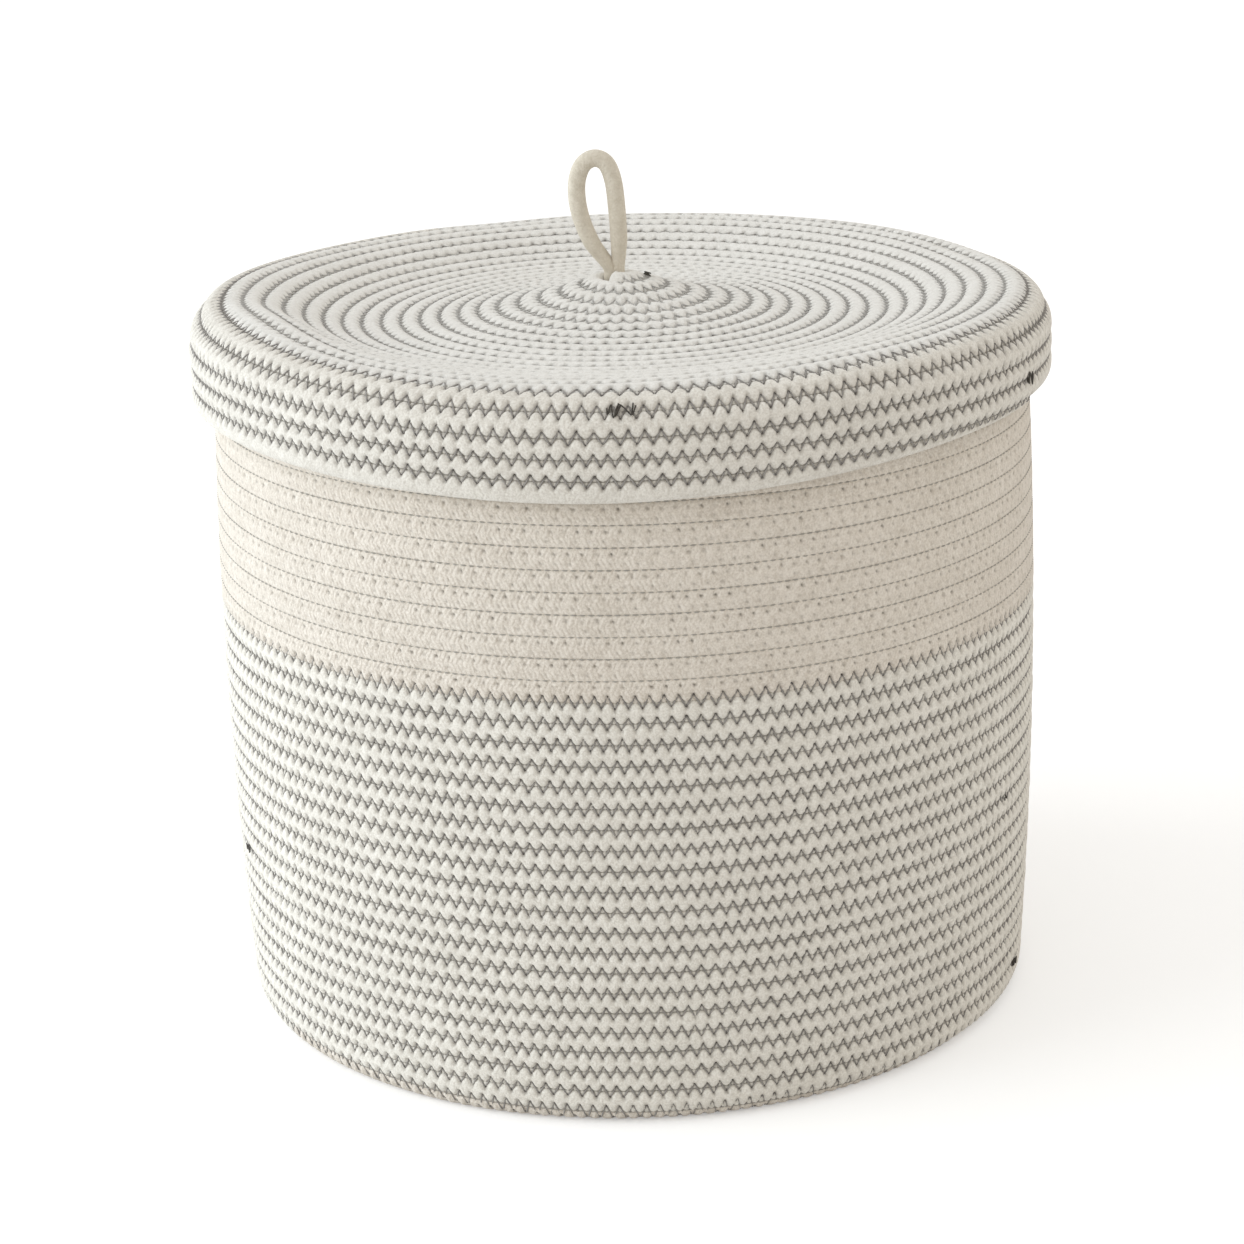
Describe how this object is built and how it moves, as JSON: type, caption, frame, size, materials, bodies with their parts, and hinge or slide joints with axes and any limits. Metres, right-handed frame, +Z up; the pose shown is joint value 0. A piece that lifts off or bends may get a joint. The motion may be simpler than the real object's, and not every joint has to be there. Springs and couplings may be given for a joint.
{
  "type": "rope basket",
  "caption": "Round coiled rope storage basket with grey zigzag stitching, a loose overhanging lid and a cord loop to lift it by.",
  "frame": {"origin": "centre of the underside, on the surface that the basket stands on", "axes": "+Z up, -Y towards the pictured front"},
  "size_m": [0.3442, 0.3442, 0.3448],
  "materials": {
    "natural_rope": "knitted cotton rope sewn with natural thread",
    "grey_sewn_rope": "knitted cotton rope sewn with dark grey zigzag thread",
    "lid_rope": "knitted cotton rope sewn with dark grey zigzag thread",
    "loop_cord": "smooth woven cotton cord"
  },
  "bodies": {
    "basket": {"floor_coil": "natural_rope", "lower_wall_coil": "grey_sewn_rope", "upper_wall_coil": "natural_rope"},
    "lid": {"lid_top_coil": "lid_rope", "lid_skirt_coil": "lid_rope", "handle_tail_left": "loop_cord", "handle_tail_right": "loop_cord"},
    "loop": {"handle_loop": "loop_cord"}
  },
  "joints": [
    {"name": "lid_lift", "type": "slide", "parent": "basket", "child": "lid", "axis": [0, 0, 1], "range_m": [0, 0.15]},
    {"name": "loop_tilt", "type": "hinge", "parent": "lid", "child": "loop", "pos_m": [0, 0, 0.29722], "axis": [1, 0, 0], "range_deg": [-70, 70], "stiffness_Nm_per_rad": 0.01}
  ]
}
